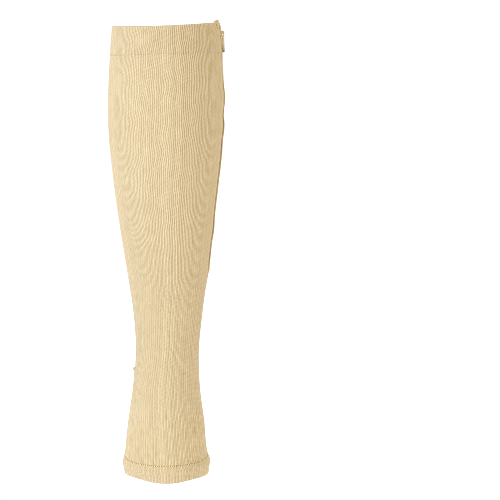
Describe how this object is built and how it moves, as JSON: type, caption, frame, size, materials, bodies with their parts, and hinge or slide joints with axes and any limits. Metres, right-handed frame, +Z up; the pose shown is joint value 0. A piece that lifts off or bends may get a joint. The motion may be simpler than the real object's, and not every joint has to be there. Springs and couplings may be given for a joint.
{
  "type": "compression stocking",
  "caption": "Knee-high compression stocking, open at the toe, ribbed and filled out hollow as worn, with a coil zip down its inner side and a swinging pull tab.",
  "frame": {"origin": "centre of the top opening, where the leg goes in and the top band grips below the knee", "axes": "+Z up the leg, -Y towards the shin, +X towards the zip on the inner side of the leg"},
  "size_m": [0.1095, 0.1138, 0.4336],
  "materials": {
    "rib_knit": "matt ribbed knit",
    "band_knit": "matt doubled rib knit",
    "hem_knit": "matt doubled rib knit with a row of hem stitches",
    "zip_tape": "woven polyester tape with a nylon coil",
    "zip_metal": "tan enamel"
  },
  "bodies": {
    "stocking": {"leg_tube": "rib_knit", "top_band": "band_knit", "hem_band": "hem_knit", "zip_tape_front": "zip_tape", "zip_tape_back": "zip_tape", "zip_slider": "zip_metal"},
    "pull": {"zip_pull": "zip_metal"}
  },
  "joints": [
    {"name": "pull_swing", "type": "hinge", "parent": "stocking", "child": "pull", "pos_m": [0.0541, 0, -0.0097], "axis": [0, -1, 0], "range_deg": [0, 175]}
  ]
}
